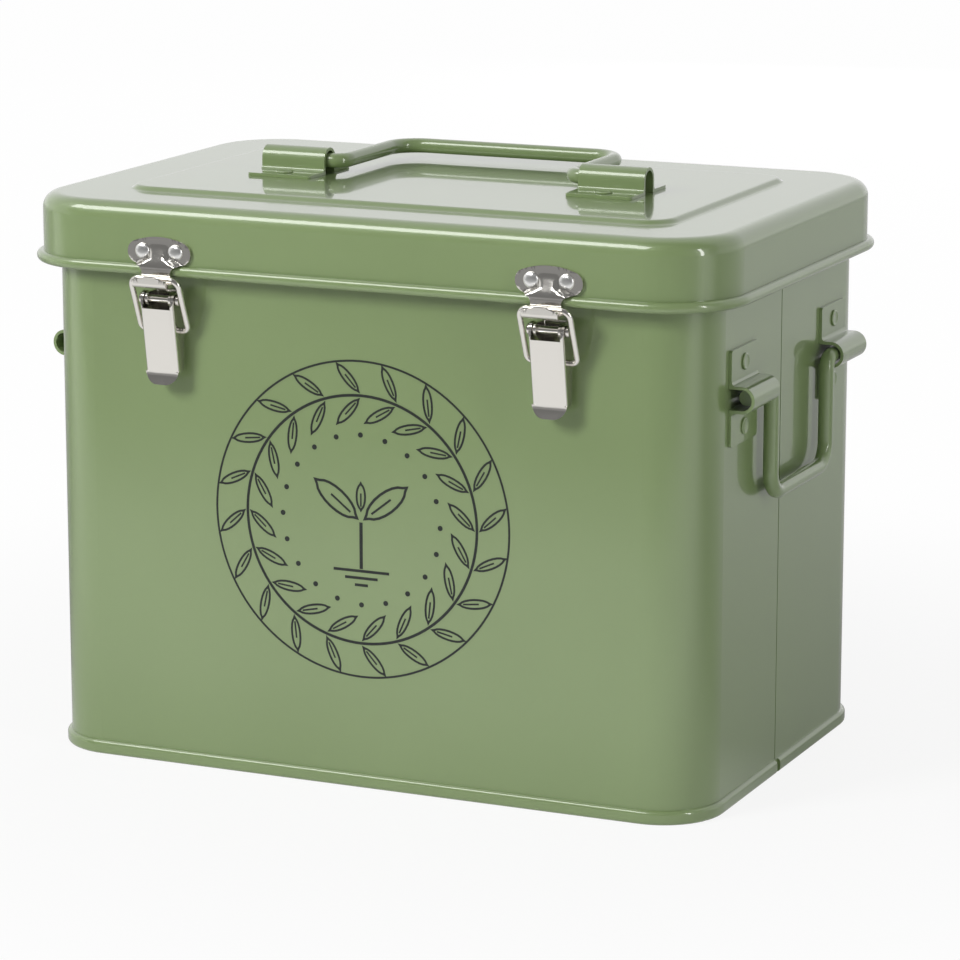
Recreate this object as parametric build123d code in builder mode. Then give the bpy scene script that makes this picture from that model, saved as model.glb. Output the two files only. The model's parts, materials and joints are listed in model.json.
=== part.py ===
from build123d import *
import os
from math import cos, radians, sin, sqrt, tan

# Garden seed organizer box: an enamelled tin with a hinged lid, three wire bail handles held by
# riveted saddle clips and two nickel-plated toggle latches.
# Millimetres and degrees. +X is the box's right side, -Y its front, +Z up. The origin is on the
# ground under the middle of the box.

os.makedirs("parts", exist_ok=True)

# ---------------------------------------------------------------- driving dimensions
# Tin box: a seamed tube of enamelled sheet with a seamed-in bottom
sheet = 0.8
body_width = 200.0
body_depth = 131.0
body_corner_radius = 17.0
box_height = 161.0  # ground to the flat margin of the lid

base_bead_height = 4.0  # double-seamed bead round the foot
base_bead_overhang = 1.3
base_bead_top_round = 1.2
base_bead_foot_round = 1.2
base_ring_width = 2.2  # inside the tube
base_panel_recess = 1.8  # bottom panel above the ground
base_seam_depth = 2.8  # how far the tube reaches down into the seam
base_notch_width = 2.4  # dent where the lock seam passes through the bead
base_notch_depth = 0.9

mouth_bead_radius = 1.7  # wired edge round the mouth of the tube
lid_rest_gap = 0.3  # mouth bead to the underside of the lid

lock_seam_y = -5.0  # vertical lock seam on the right side
lock_seam_width = 5.0
lock_seam_groove = 0.5
lock_seam_groove_depth = 0.35

# Lid: a drawn shell with a raised panel and a wired rim
lid_wall_offset = 5.0  # outer face of the lid beyond the tube
lid_rim_overhang = 7.0  # rim bead beyond the tube
lid_rim_bead_radius = 1.5
lid_skirt_height = 18.0  # flat margin down to the middle of the rim bead
lid_top_radius = 4.5
lid_panel_margin = 22.0
lid_panel_radius = 9.0
lid_panel_rise = 1.2
lid_panel_slope = 50.0
lid_panel_round = 1.6  # outer radius of the drawn step, at its top and at its foot

# Wire bails and the saddle clips that carry them
bail_wire_radius = 2.15
clip_sheet = 0.9
clip_bore_radius = 2.85
clip_height = 7.5  # seat to the top of the roll
clip_width = 20.0
clip_length = 26.5
clip_corner_radius = 1.0
clip_foot_round = 1.1
clip_rivet_spacing = 17.7
bail_end_inset = 4.0  # bail ends short of the clip's outer mouth

side_clip_spacing = 72.0  # between the middles of a pair
side_bail_below_rim = 28.0  # bail axis below the lid's rim bead
side_bail_drop = 30.5
side_bail_corner_radius = 6.5
side_bail_neck_radius = 3.6

lid_clip_spacing = 99.0
lid_bail_y = -3.0
lid_bail_reach = 40.0
lid_bail_corner_radius = 9.0
lid_bail_neck_radius = 4.0

# Rivets
rivet_radius = 1.5
rivet_head_radius = 2.35
rivet_head_height = 0.6
rivet_tail_radius = 2.1
rivet_tail_height = 0.6
rivet_dome_angle = 35.0  # from the crown to the dome's middle point

# Toggle latches. "Out" is measured from the front of the tube, "up" from the ground.
latch_inset = 41.5  # middle of a latch in from the box's side
keeper_sheet = 1.0
keeper_oval_width = 19.6
keeper_oval_height = 8.8
keeper_oval_above_rim = 5.0  # its middle above the rim bead
keeper_oval_bow = 21.9  # radius of its long edges
keeper_oval_end_radius = 3.2
keeper_neck_width = 8.8
keeper_neck_round = 2.05
keeper_hook_width = 10.4  # tongue and hook below the neck
keeper_rivet_spacing = 10.2
keeper_rivet_above_rim = 5.3
keeper_rivet_head_radius = 2.2
keeper_rivet_head_height = 1.0
keeper_bead_clearance = 0.15  # tongue to the rim bead that it passes over
keeper_crown_radius = 9.0  # arched free edge of the hook
keeper_joggle_top = 2.4  # above the rim bead, where the plate starts to step out over it
keeper_joggle_bottom = 0.8
keeper_joggle_top_bend = 0.3  # inner radii of the plate's bends
keeper_joggle_bottom_bend = 1.0
keeper_hook_bend = 0.5

pivot_out = 5.5  # lever pin
pivot_below_rim = 8.0
link_out = -1.0  # loop pivot from the lever pin, along and across the leaning lever
link_up = -9.25
loop_wire_radius = 0.85
loop_bar_below_rim = 1.9
loop_bar_back_clearance = 0.25
loop_bar_front_clearance = 1.25  # room for the bar's arc as it leaves the hook
loop_bar_floor_clearance = 0.35
hook_lip_rise = 1.1  # lip above the middle of the bar
hook_lip_flare = 0.4
loop_width = 16.4
loop_corner_radius = 2.6
loop_foot_radius = 1.7  # bends where the legs turn in to the lever
loop_foot_overhang = 0.2  # feet stand into the lever's hollow

lever_sheet = 0.8
lever_width = 10.2
lever_bend_radius = 1.1
lever_face_out = 3.1  # outer face from the lever pin
lever_face_top = -1.4
lever_face_bottom = -20.7
lever_tip_bottom = -23.7
lever_lean = 9.0  # closed: the lower end leans towards the wall
lever_tip_flare = 1.3
lever_tip_round = 3.8
lever_tip_lead = 0.5  # the flare starts this far above the end of the face
lever_tip_lean = 0.55  # outward run of the tip's end for each unit down
lever_ear_radius = 2.2
lever_back = -2.5  # edge of the flanges behind the loop's feet
lever_toe_depth = 2.5  # flanges behind the face, at its lower end
lever_tip_root = 0.1  # web between the flanges where the flare starts
lever_pin_radius = 1.0
lever_pin_clearance = 0.08
lever_pin_head_radius = 1.6
lever_pin_head_height = 0.9
lever_pin_head_gap = 0.2
loop_hole_clearance = 0.1

latch_base_sheet = 1.0
latch_base_above_pivot = 2.0
latch_base_below_pivot = 17.5
latch_base_ear_radius = 1.9
latch_base_ear_depth = 5.0  # height of the ears where they leave the plate
latch_base_side_clearance = 0.3
latch_base_rivets_below_pivot = (14.2, 6.8)
latch_base_rivet_head_radius = 2.0

# Hinges at the back
hinge_inset = 38.0  # middle of a hinge in from the box's side
hinge_sheet = 1.0
hinge_width = 24.0
hinge_pin_radius = 1.1
hinge_knuckle_radius = 2.2
hinge_running_clearance = 0.06
hinge_rim_clearance = 0.45
hinge_below_rim = 1.0
hinge_lid_knuckle_width = 9.0
hinge_knuckle_gap = 0.3
hinge_box_leaf_drop = 24.0  # from the pin down to the end of the leaf
hinge_lid_leaf_rise = 14.0
hinge_joggle_low = 3.5  # above the pin
hinge_joggle_high = 5.7
hinge_shoulder = 2.8  # full width of the lid leaf starts this far above the pin
hinge_bend_radius = 0.8
hinge_rivet_spacing = 13.0
hinge_box_rivet_drop = 16.0
hinge_lid_rivet_rise = 10.0
hinge_pin_overhang = 0.6
hinge_pin_chamfer = 0.3

# Inside: a folded partition and tabbed divider cards
partition_below_rim = 25.0
partition_flange = 9.0
partition_notch_clearance = 0.4
card_thickness = 0.8
card_clearance = 2.5  # card to the walls beside it
card_below_rim = 5.4  # tops of the tabs below the rim bead
card_tab_height = 9.0
card_tab_width = 26.0
card_corner_radius = 2.0
card_count = 4
card_pitch = 24.0

# ---------------------------------------------------------------- derived sizes
lid_width = body_width + 2 * lid_wall_offset
lid_depth = body_depth + 2 * lid_wall_offset
lid_corner_radius = body_corner_radius + lid_wall_offset
lid_panel_top = box_height + lid_panel_rise
lid_rim_height = box_height - lid_skirt_height
lid_underside = box_height - sheet

floor_top = base_panel_recess + sheet
mouth_bead_middle = lid_underside - lid_rest_gap - mouth_bead_radius
mouth_bead_offset = mouth_bead_radius - sheet

front_y = -body_depth / 2
back_y = body_depth / 2
side_x = body_width / 2
lid_front_y = front_y - lid_wall_offset
lid_back_y = back_y + lid_wall_offset
hinge_y = back_y + lid_rim_overhang + hinge_rim_clearance + hinge_knuckle_radius

clip_roll_radius = clip_bore_radius + clip_sheet
clip_axis_height = clip_height - clip_roll_radius

latch_x = side_x - latch_inset
hinge_x = side_x - hinge_inset
side_bail_height = lid_rim_height - side_bail_below_rim
keeper_oval_up = lid_rim_height + keeper_oval_above_rim
keeper_rivet_up = lid_rim_height + keeper_rivet_above_rim
loop_bar_up = lid_rim_height - loop_bar_below_rim
pivot_up = lid_rim_height - pivot_below_rim
latch_base_top = pivot_up + latch_base_above_pivot
latch_base_bottom = pivot_up - latch_base_below_pivot
latch_base_rivet_ups = [pivot_up - drop for drop in latch_base_rivets_below_pivot]
hinge_up = lid_rim_height - hinge_below_rim
hinge_leaf_bottom = hinge_up - hinge_box_leaf_drop
hinge_lid_leaf_top = hinge_up + hinge_lid_leaf_rise
hinge_box_rivet_up = hinge_up - hinge_box_rivet_drop
hinge_lid_rivet_up = hinge_up + hinge_lid_rivet_rise
partition_height = lid_rim_height - partition_below_rim
card_height = lid_rim_height - card_below_rim - card_tab_height - floor_top

pivot_y = front_y - pivot_out
keeper_tongue_out = lid_rim_overhang + keeper_bead_clearance
keeper_tongue_face = keeper_tongue_out + keeper_sheet
loop_bar_out = keeper_tongue_face + loop_bar_back_clearance + loop_wire_radius
hook_lip_out = loop_bar_out + loop_wire_radius + loop_bar_front_clearance
hook_floor = loop_bar_up - loop_wire_radius - loop_bar_floor_clearance
lever_inner_width = lever_width - 2 * lever_sheet
lever_x_dir = (0, -cos(radians(lever_lean)), -sin(radians(lever_lean)))  # square to the lever's face
latch_base_width = lever_inner_width - 2 * latch_base_side_clearance


def save(part, name):
    """Label a finished piece and write its STEP file."""
    part.label = name
    export_step(part, f"parts/{name}.step")


def side_plane(side, y, up):
    """Plane on a side wall: its Z points out of the box, its X runs towards the back."""
    return Plane(origin=(side * side_x, y, up), x_dir=(0, side, 0), z_dir=(side, 0, 0))


def latch_section(*points):
    """Points given as (out, up) turned into the YZ plane's own coordinates."""
    return [(front_y - out, up) for out, up in points]


def rounded_loop(width, depth, radius, height):
    """Closed rounded rectangle at a height, as a path for the wired edges."""
    x, y = width / 2, depth / 2
    with BuildLine(Plane.XY.offset(height)) as loop:
        FilletPolyline(
            (0, -y), (x, -y), (x, y), (-x, y), (-x, -y), radius=[0, radius, radius, radius, radius], close=True
        )
    return loop.wires()[0]


def bead_ring(path, radius):
    """Round bead along a closed path that starts in the middle of the front."""
    with BuildPart() as ring:
        with BuildSketch(Plane(origin=path @ 0, z_dir=path % 0)):
            Circle(radius)
        sweep(path=path)
    return ring.part


def rivet(grip, head_radius, head_height, dome=False):
    """Rivet along Z: head above 0, shank through the grip, upset tail below it."""
    with BuildPart() as piece:
        with BuildSketch(Plane.XZ):
            with BuildLine():
                if dome:
                    lean = radians(rivet_dome_angle)
                    dome_middle = (head_radius * sin(lean), head_height * cos(lean))
                    ThreePointArc((0, head_height), dome_middle, (head_radius, 0))
                else:
                    Polyline((0, head_height), (head_radius - head_height / 2, head_height))
                    Polyline((head_radius - head_height / 2, head_height), (head_radius, 0))
                Polyline(
                    (head_radius, 0),
                    (rivet_radius, 0),
                    (rivet_radius, -grip),
                    (rivet_tail_radius, -grip),
                    (rivet_tail_radius - rivet_tail_height / 2, -grip - rivet_tail_height),
                    (0, -grip - rivet_tail_height),
                    (0, head_height),
                )
            make_face()
        revolve(axis=Axis.Z)
    return piece.part


def rivet_group(name, piece, planes):
    """Identical rivets as separate solids in one node, one on each plane."""
    group = Compound(children=[piece.moved(plane.location) for plane in planes])
    save(group, name)


# ---------------------------------------------------------------- box body: the tube
side_clip_ys = (-side_clip_spacing / 2, side_clip_spacing / 2)
side_rivet_ups = (side_bail_height - clip_rivet_spacing / 2, side_bail_height + clip_rivet_spacing / 2)
hinge_rivet_xs = [side * hinge_x + step * hinge_rivet_spacing / 2 for side in (-1, 1) for step in (-1, 1)]
tube_bottom = base_bead_height - base_seam_depth
mouth_bead = bead_ring(
    rounded_loop(
        body_width + 2 * mouth_bead_offset,
        body_depth + 2 * mouth_bead_offset,
        body_corner_radius + mouth_bead_offset,
        mouth_bead_middle,
    ),
    mouth_bead_radius,
)

with BuildPart() as box_body:
    with BuildSketch(Plane.XY.offset(tube_bottom)):
        RectangleRounded(body_width, body_depth, body_corner_radius)
        RectangleRounded(
            body_width - 2 * sheet, body_depth - 2 * sheet, body_corner_radius - sheet, mode=Mode.SUBTRACT
        )
    extrude(amount=mouth_bead_middle - tube_bottom)
    add(mouth_bead)
    # Lock seam: a folded strip one sheet thick on the inside, a fine groove outside
    seam_height = mouth_bead_middle - mouth_bead_radius - base_bead_height
    with BuildSketch(Plane.XY.offset(base_bead_height)):
        with Locations((side_x - 1.5 * sheet, lock_seam_y)):
            Rectangle(sheet, lock_seam_width)
    extrude(amount=seam_height)
    with BuildSketch(Plane.XY.offset(base_bead_height)):
        with Locations((side_x, lock_seam_y)):
            Rectangle(2 * lock_seam_groove_depth, lock_seam_groove)
    extrude(amount=seam_height, mode=Mode.SUBTRACT)
    # Rivet holes for the side clips, the latch bases and the hinges
    with BuildSketch(Plane.YZ):
        with Locations(*[(y, up) for y in side_clip_ys for up in side_rivet_ups]):
            Circle(rivet_radius)
    extrude(amount=body_width, both=True, mode=Mode.SUBTRACT)
    with BuildSketch(Plane.XZ):
        with Locations(*[(side * latch_x, up) for side in (-1, 1) for up in latch_base_rivet_ups]):
            Circle(rivet_radius)
    extrude(amount=body_depth, mode=Mode.SUBTRACT)
    with BuildSketch(Plane.XZ):
        with Locations(*[(x, hinge_box_rivet_up) for x in hinge_rivet_xs]):
            Circle(rivet_radius)
    extrude(amount=-body_depth, mode=Mode.SUBTRACT)
save(box_body.part, "box_body")

# ---------------------------------------------------------------- box base: bottom panel and seamed bead
base_inner_width = body_width - 2 * (sheet + base_ring_width)
base_inner_depth = body_depth - 2 * (sheet + base_ring_width)
base_inner_radius = body_corner_radius - sheet - base_ring_width

with BuildPart() as box_base:
    with BuildSketch():
        RectangleRounded(
            body_width + 2 * base_bead_overhang,
            body_depth + 2 * base_bead_overhang,
            body_corner_radius + base_bead_overhang,
        )
    extrude(amount=base_bead_height)
    fillet(box_base.edges().group_by(Axis.Z)[-1], base_bead_top_round)
    fillet(box_base.edges().group_by(Axis.Z)[0], base_bead_foot_round)
    with BuildSketch():
        RectangleRounded(base_inner_width, base_inner_depth, base_inner_radius)
    extrude(amount=base_panel_recess, mode=Mode.SUBTRACT)
    with BuildSketch(Plane.XY.offset(floor_top)):
        RectangleRounded(base_inner_width, base_inner_depth, base_inner_radius)
    extrude(amount=base_bead_height, mode=Mode.SUBTRACT)
    with BuildSketch(Plane.XY.offset(tube_bottom)):
        RectangleRounded(body_width, body_depth, body_corner_radius)
        RectangleRounded(
            body_width - 2 * sheet, body_depth - 2 * sheet, body_corner_radius - sheet, mode=Mode.SUBTRACT
        )
    extrude(amount=base_bead_height, mode=Mode.SUBTRACT)
    with BuildSketch():
        with Locations((side_x + base_bead_overhang, lock_seam_y)):
            Rectangle(2 * base_notch_depth, base_notch_width)
    extrude(amount=base_bead_height, mode=Mode.SUBTRACT)
save(box_base.part, "box_base")

# ---------------------------------------------------------------- lid shell
lid_wall_height = box_height - lid_rim_height
rim_offset = lid_rim_overhang - lid_rim_bead_radius
rim_bead = bead_ring(
    rounded_loop(
        body_width + 2 * rim_offset,
        body_depth + 2 * rim_offset,
        body_corner_radius + rim_offset,
        lid_rim_height,
    ),
    lid_rim_bead_radius,
)


def drawn_form(inset):
    """Solid inside the lid's skin: the outer form at 0, the hollow at one sheet."""
    panel_drop = inset * tan(radians(45 - lid_panel_slope / 2))  # keeps the sloped step one sheet thick
    with BuildPart() as form:
        with BuildSketch(Plane.XY.offset(lid_rim_height)):
            RectangleRounded(lid_width - 2 * inset, lid_depth - 2 * inset, lid_corner_radius - inset)
        extrude(amount=lid_wall_height - inset)
        fillet(form.edges().group_by(Axis.Z)[-1], lid_top_radius - inset)
        with BuildSketch(Plane.XY.offset(box_height - inset)):
            RectangleRounded(
                lid_width - 2 * (lid_panel_margin + panel_drop),
                lid_depth - 2 * (lid_panel_margin + panel_drop),
                lid_panel_radius - panel_drop,
            )
        extrude(amount=lid_panel_rise, taper=lid_panel_slope)
        # The drawn step is round at its top and at its foot
        fillet(form.edges().group_by(Axis.Z)[-1], lid_panel_round - inset)
        flat_margin = form.faces().filter_by(Axis.Z).group_by(Axis.Z)[-2][0]
        fillet(flat_margin.inner_wires()[0].edges(), lid_panel_round + inset)
    return form.part


lid_clip_xs = (-lid_clip_spacing / 2, lid_clip_spacing / 2)
lid_rivet_ys = (lid_bail_y - clip_rivet_spacing / 2, lid_bail_y + clip_rivet_spacing / 2)
keeper_rivet_xs = [side * latch_x + step * keeper_rivet_spacing / 2 for side in (-1, 1) for step in (-1, 1)]

with BuildPart() as lid_shell:
    add(drawn_form(0))
    add(rim_bead)
    add(drawn_form(sheet), mode=Mode.SUBTRACT)
    with BuildSketch(Plane.XY.offset(lid_panel_top)):
        with Locations(*[(x, y) for x in lid_clip_xs for y in lid_rivet_ys]):
            Circle(rivet_radius)
    extrude(amount=-2 * lid_panel_rise - sheet, mode=Mode.SUBTRACT)
    with BuildSketch(Plane.XZ):
        with Locations(*[(x, keeper_rivet_up) for x in keeper_rivet_xs]):
            Circle(rivet_radius)
    extrude(amount=lid_depth, mode=Mode.SUBTRACT)
    with BuildSketch(Plane.XZ):
        with Locations(*[(x, hinge_lid_rivet_up) for x in hinge_rivet_xs]):
            Circle(rivet_radius)
    extrude(amount=-lid_depth, mode=Mode.SUBTRACT)
save(lid_shell.part, "lid_shell")

# ---------------------------------------------------------------- saddle clips, all six alike
with BuildPart() as clip:
    with BuildSketch(Plane.YZ.offset(-clip_width / 2)) as clip_profile:
        with Locations((0, clip_axis_height)):
            Circle(clip_roll_radius)
        with Locations((0, clip_axis_height / 2)):
            Rectangle(2 * clip_roll_radius, clip_axis_height)
        with Locations((0, clip_sheet / 2)):
            Rectangle(clip_length, clip_sheet)
        with Locations((0, clip_axis_height)):
            Circle(clip_bore_radius, mode=Mode.SUBTRACT)
        with Locations((0, clip_axis_height / 2)):
            Rectangle(2 * clip_bore_radius, clip_axis_height, mode=Mode.SUBTRACT)
        for side in (-1, 1):
            root = clip_profile.vertices().sort_by_distance((side * clip_roll_radius, clip_sheet, 0))[0]
            fillet(root, clip_foot_round)
    extrude(amount=clip_width)
    fillet(clip.edges().filter_by(Axis.Z).group_by(Axis.Y)[0], clip_corner_radius)
    fillet(clip.edges().filter_by(Axis.Z).group_by(Axis.Y)[-1], clip_corner_radius)
    with GridLocations(0, clip_rivet_spacing, 1, 2):
        Hole(rivet_radius)

side_names = {-1: "left", 1: "right"}
for side, side_name in side_names.items():
    for y, place in zip(side_clip_ys, ("front", "back")):
        clip_plane = side_plane(side, y, side_bail_height)
        save(clip.part.moved(clip_plane.location), f"side_clip_{side_name}_{place}")
    lid_clip_plane = Plane(origin=(side * lid_clip_spacing / 2, lid_bail_y, lid_panel_top))
    save(clip.part.moved(lid_clip_plane.location), f"lid_clip_{side_name}")

# ---------------------------------------------------------------- clip rivets
clip_rivet = rivet(clip_sheet + sheet, rivet_head_radius, rivet_head_height)
for side, side_name in side_names.items():
    rivet_group(
        f"side_clip_rivets_{side_name}",
        clip_rivet,
        [side_plane(side, y, up).offset(clip_sheet) for y in side_clip_ys for up in side_rivet_ups],
    )
rivet_group(
    "lid_clip_rivets",
    clip_rivet,
    [Plane(origin=(x, y, lid_panel_top + clip_sheet)) for x in lid_clip_xs for y in lid_rivet_ys],
)


# ---------------------------------------------------------------- wire bails
def bail(plane, clip_spacing, reach, neck_radius, corner_radius):
    """Bail of round wire, drawn in its own plane: ends along X, the grip at -Y."""
    end = clip_spacing / 2 + clip_width / 2 - bail_end_inset
    leg = clip_spacing / 2 - clip_width / 2 - neck_radius
    with BuildPart() as wire:
        with BuildLine(plane) as path:
            FilletPolyline(
                (-end, 0),
                (-leg, 0),
                (-leg, -reach),
                (leg, -reach),
                (leg, 0),
                (end, 0),
                radius=[neck_radius, corner_radius, corner_radius, neck_radius],
            )
        with BuildSketch(Plane(origin=path.line @ 0, z_dir=path.line % 0)):
            Circle(bail_wire_radius)
        sweep(path=path.line)
    return wire.part


for side, side_name in side_names.items():
    hanging = side_plane(side, 0, side_bail_height).offset(clip_axis_height)
    save(
        bail(hanging, side_clip_spacing, side_bail_drop, side_bail_neck_radius, side_bail_corner_radius),
        f"side_handle_{side_name}",
    )
folded_back = Plane(origin=(0, lid_bail_y, lid_panel_top + clip_axis_height), x_dir=(-1, 0, 0))
lid_bail = bail(folded_back, lid_clip_spacing, lid_bail_reach, lid_bail_neck_radius, lid_bail_corner_radius)
save(lid_bail, "lid_handle")

# ---------------------------------------------------------------- latch keeper: plate, tongue and J-hook
keeper_top = keeper_oval_up + keeper_oval_height / 2
joggle_top = lid_rim_height + keeper_joggle_top
joggle_bottom = lid_rim_height + keeper_joggle_bottom
hook_bottom = hook_floor - keeper_sheet
hook_lip_top = loop_bar_up + hook_lip_rise
hook_face = hook_lip_out + keeper_sheet
keeper_oval_bow_middle = keeper_oval_up - keeper_oval_height / 2 + keeper_oval_bow

# The rounds of the neck run smoothly out of the oval's long edge
keeper_neck_x = keeper_neck_width / 2 + keeper_neck_round
keeper_neck_up = keeper_oval_bow_middle - sqrt((keeper_oval_bow + keeper_neck_round) ** 2 - keeper_neck_x**2)

with BuildSketch() as keeper_oval:
    with Locations((0, keeper_oval_bow_middle)):
        Circle(keeper_oval_bow)
    with Locations((0, 2 * keeper_oval_up - keeper_oval_bow_middle)):
        Circle(keeper_oval_bow, mode=Mode.INTERSECT)
    fillet(keeper_oval.vertices(), keeper_oval_end_radius)

with BuildPart() as keeper:
    with BuildSketch(Plane.YZ.offset(-keeper_oval_width / 2)):
        with BuildLine():
            FilletPolyline(
                *latch_section(
                    (lid_wall_offset, keeper_top),
                    (lid_wall_offset, joggle_top),
                    (keeper_tongue_out, joggle_bottom),
                    (keeper_tongue_out, hook_bottom),
                    (hook_face, hook_bottom),
                    (hook_face + hook_lip_flare, hook_lip_top),
                    (hook_lip_out + hook_lip_flare, hook_lip_top),
                    (hook_lip_out, hook_floor),
                    (keeper_tongue_face, hook_floor),
                    (keeper_tongue_face, joggle_bottom + keeper_sheet / 2),
                    (lid_wall_offset + keeper_sheet, joggle_top + keeper_sheet / 2),
                    (lid_wall_offset + keeper_sheet, keeper_top),
                ),
                radius=[
                    0,
                    keeper_joggle_top_bend + keeper_sheet,
                    keeper_joggle_bottom_bend,
                    keeper_hook_bend + keeper_sheet,
                    keeper_hook_bend + keeper_sheet,
                    0,
                    0,
                    keeper_hook_bend,
                    keeper_hook_bend,
                    keeper_joggle_bottom_bend + keeper_sheet,
                    keeper_joggle_top_bend,
                    0,
                ],
                close=True,
            )
        make_face()
    extrude(amount=keeper_oval_width)
    # Front outline: oval plate, neck, tongue and hook
    with BuildSketch(Plane.XZ) as keeper_outline:
        with Locations((0, (keeper_oval_up + hook_bottom) / 2 - keeper_sheet)):
            Rectangle(keeper_hook_width, keeper_oval_up - hook_bottom)
        with Locations((0, keeper_neck_up)):
            with GridLocations(2 * keeper_neck_x, 0, 2, 1):
                Circle(keeper_neck_round, mode=Mode.SUBTRACT)
        add(keeper_oval.sketch)
    extrude(amount=body_depth, mode=Mode.INTERSECT)
    # Arched free edge of the hook
    with BuildSketch(Plane.XZ.offset(-front_y + hook_lip_out - keeper_sheet)):
        with Locations((0, hook_lip_top)):
            Rectangle(2 * keeper_hook_width, 2 * keeper_sheet)
        with Locations((0, hook_lip_top - keeper_crown_radius)):
            Circle(keeper_crown_radius, mode=Mode.SUBTRACT)
    extrude(amount=3 * keeper_sheet, mode=Mode.SUBTRACT)
    with BuildSketch(Plane.XZ):
        with Locations((0, keeper_rivet_up)):
            with GridLocations(keeper_rivet_spacing, 0, 2, 1):
                Circle(rivet_radius)
    extrude(amount=body_depth, mode=Mode.SUBTRACT)

# ---------------------------------------------------------------- latch base: plate with two ears for the pin
with BuildPart() as latch_base:
    with BuildSketch(Plane.YZ.offset(-latch_base_width / 2)):
        with BuildLine():
            Polyline(
                *latch_section(
                    (0, latch_base_top),
                    (0, latch_base_bottom),
                    (latch_base_sheet, latch_base_bottom),
                    (latch_base_sheet, pivot_up - latch_base_ear_depth),
                    (pivot_out, pivot_up - latch_base_ear_radius),
                    (pivot_out, pivot_up + latch_base_ear_radius),
                    (latch_base_sheet, latch_base_top),
                ),
                close=True,
            )
        make_face()
        with Locations((pivot_y, pivot_up)):
            Circle(latch_base_ear_radius)
    extrude(amount=latch_base_width)
    with BuildSketch(Plane.YZ.offset(-latch_base_width / 2 + lever_sheet)):
        with Locations((pivot_y, (latch_base_top + latch_base_bottom) / 2)):
            Rectangle(2 * (pivot_out - latch_base_sheet), 2 * (latch_base_top - latch_base_bottom))
    extrude(amount=latch_base_width - 2 * lever_sheet, mode=Mode.SUBTRACT)
    with BuildSketch(Plane.YZ.offset(-latch_base_width / 2)):
        with Locations((pivot_y, pivot_up)):
            Circle(lever_pin_radius)
    extrude(amount=latch_base_width, mode=Mode.SUBTRACT)
    with BuildSketch(Plane.XZ):
        with Locations(*[(0, up) for up in latch_base_rivet_ups]):
            Circle(rivet_radius)
    extrude(amount=body_depth, mode=Mode.SUBTRACT)

# ---------------------------------------------------------------- lever pin with two round heads
lever_pin_length = lever_width + 2 * lever_pin_head_gap
with BuildPart() as lever_pin:
    with BuildSketch(Plane(origin=(0, pivot_y, pivot_up), x_dir=(0, 1, 0), z_dir=(1, 0, 0))):
        Circle(lever_pin_radius)
    extrude(amount=lever_pin_length / 2, both=True)
    for side in (-1, 1):
        head_plane = Plane(
            origin=(side * lever_pin_length / 2, pivot_y, pivot_up), x_dir=(0, 1, 0), z_dir=(side, 0, 0)
        )
        with BuildSketch(head_plane):
            Circle(lever_pin_head_radius)
        extrude(amount=lever_pin_head_height)
    fillet(lever_pin.edges().filter_by(GeomType.CIRCLE).group_by(Axis.X)[0], lever_pin_head_height / 2)
    fillet(lever_pin.edges().filter_by(GeomType.CIRCLE).group_by(Axis.X)[-1], lever_pin_head_height / 2)

# ---------------------------------------------------------------- lever: folded channel with a flared tip
lever_plane = Plane(origin=(-lever_width / 2, pivot_y, pivot_up), x_dir=lever_x_dir, z_dir=(-1, 0, 0))
lever_front_plane = Plane(origin=(0, pivot_y, pivot_up), x_dir=(1, 0, 0), z_dir=lever_x_dir)
lever_inner_face = lever_face_out - lever_sheet
lever_tip_start = lever_face_bottom + lever_tip_lead
lever_tip_front = (lever_face_out + lever_tip_flare, lever_tip_bottom)
lever_tip_back = (lever_inner_face + lever_tip_flare, lever_tip_bottom)

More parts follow.
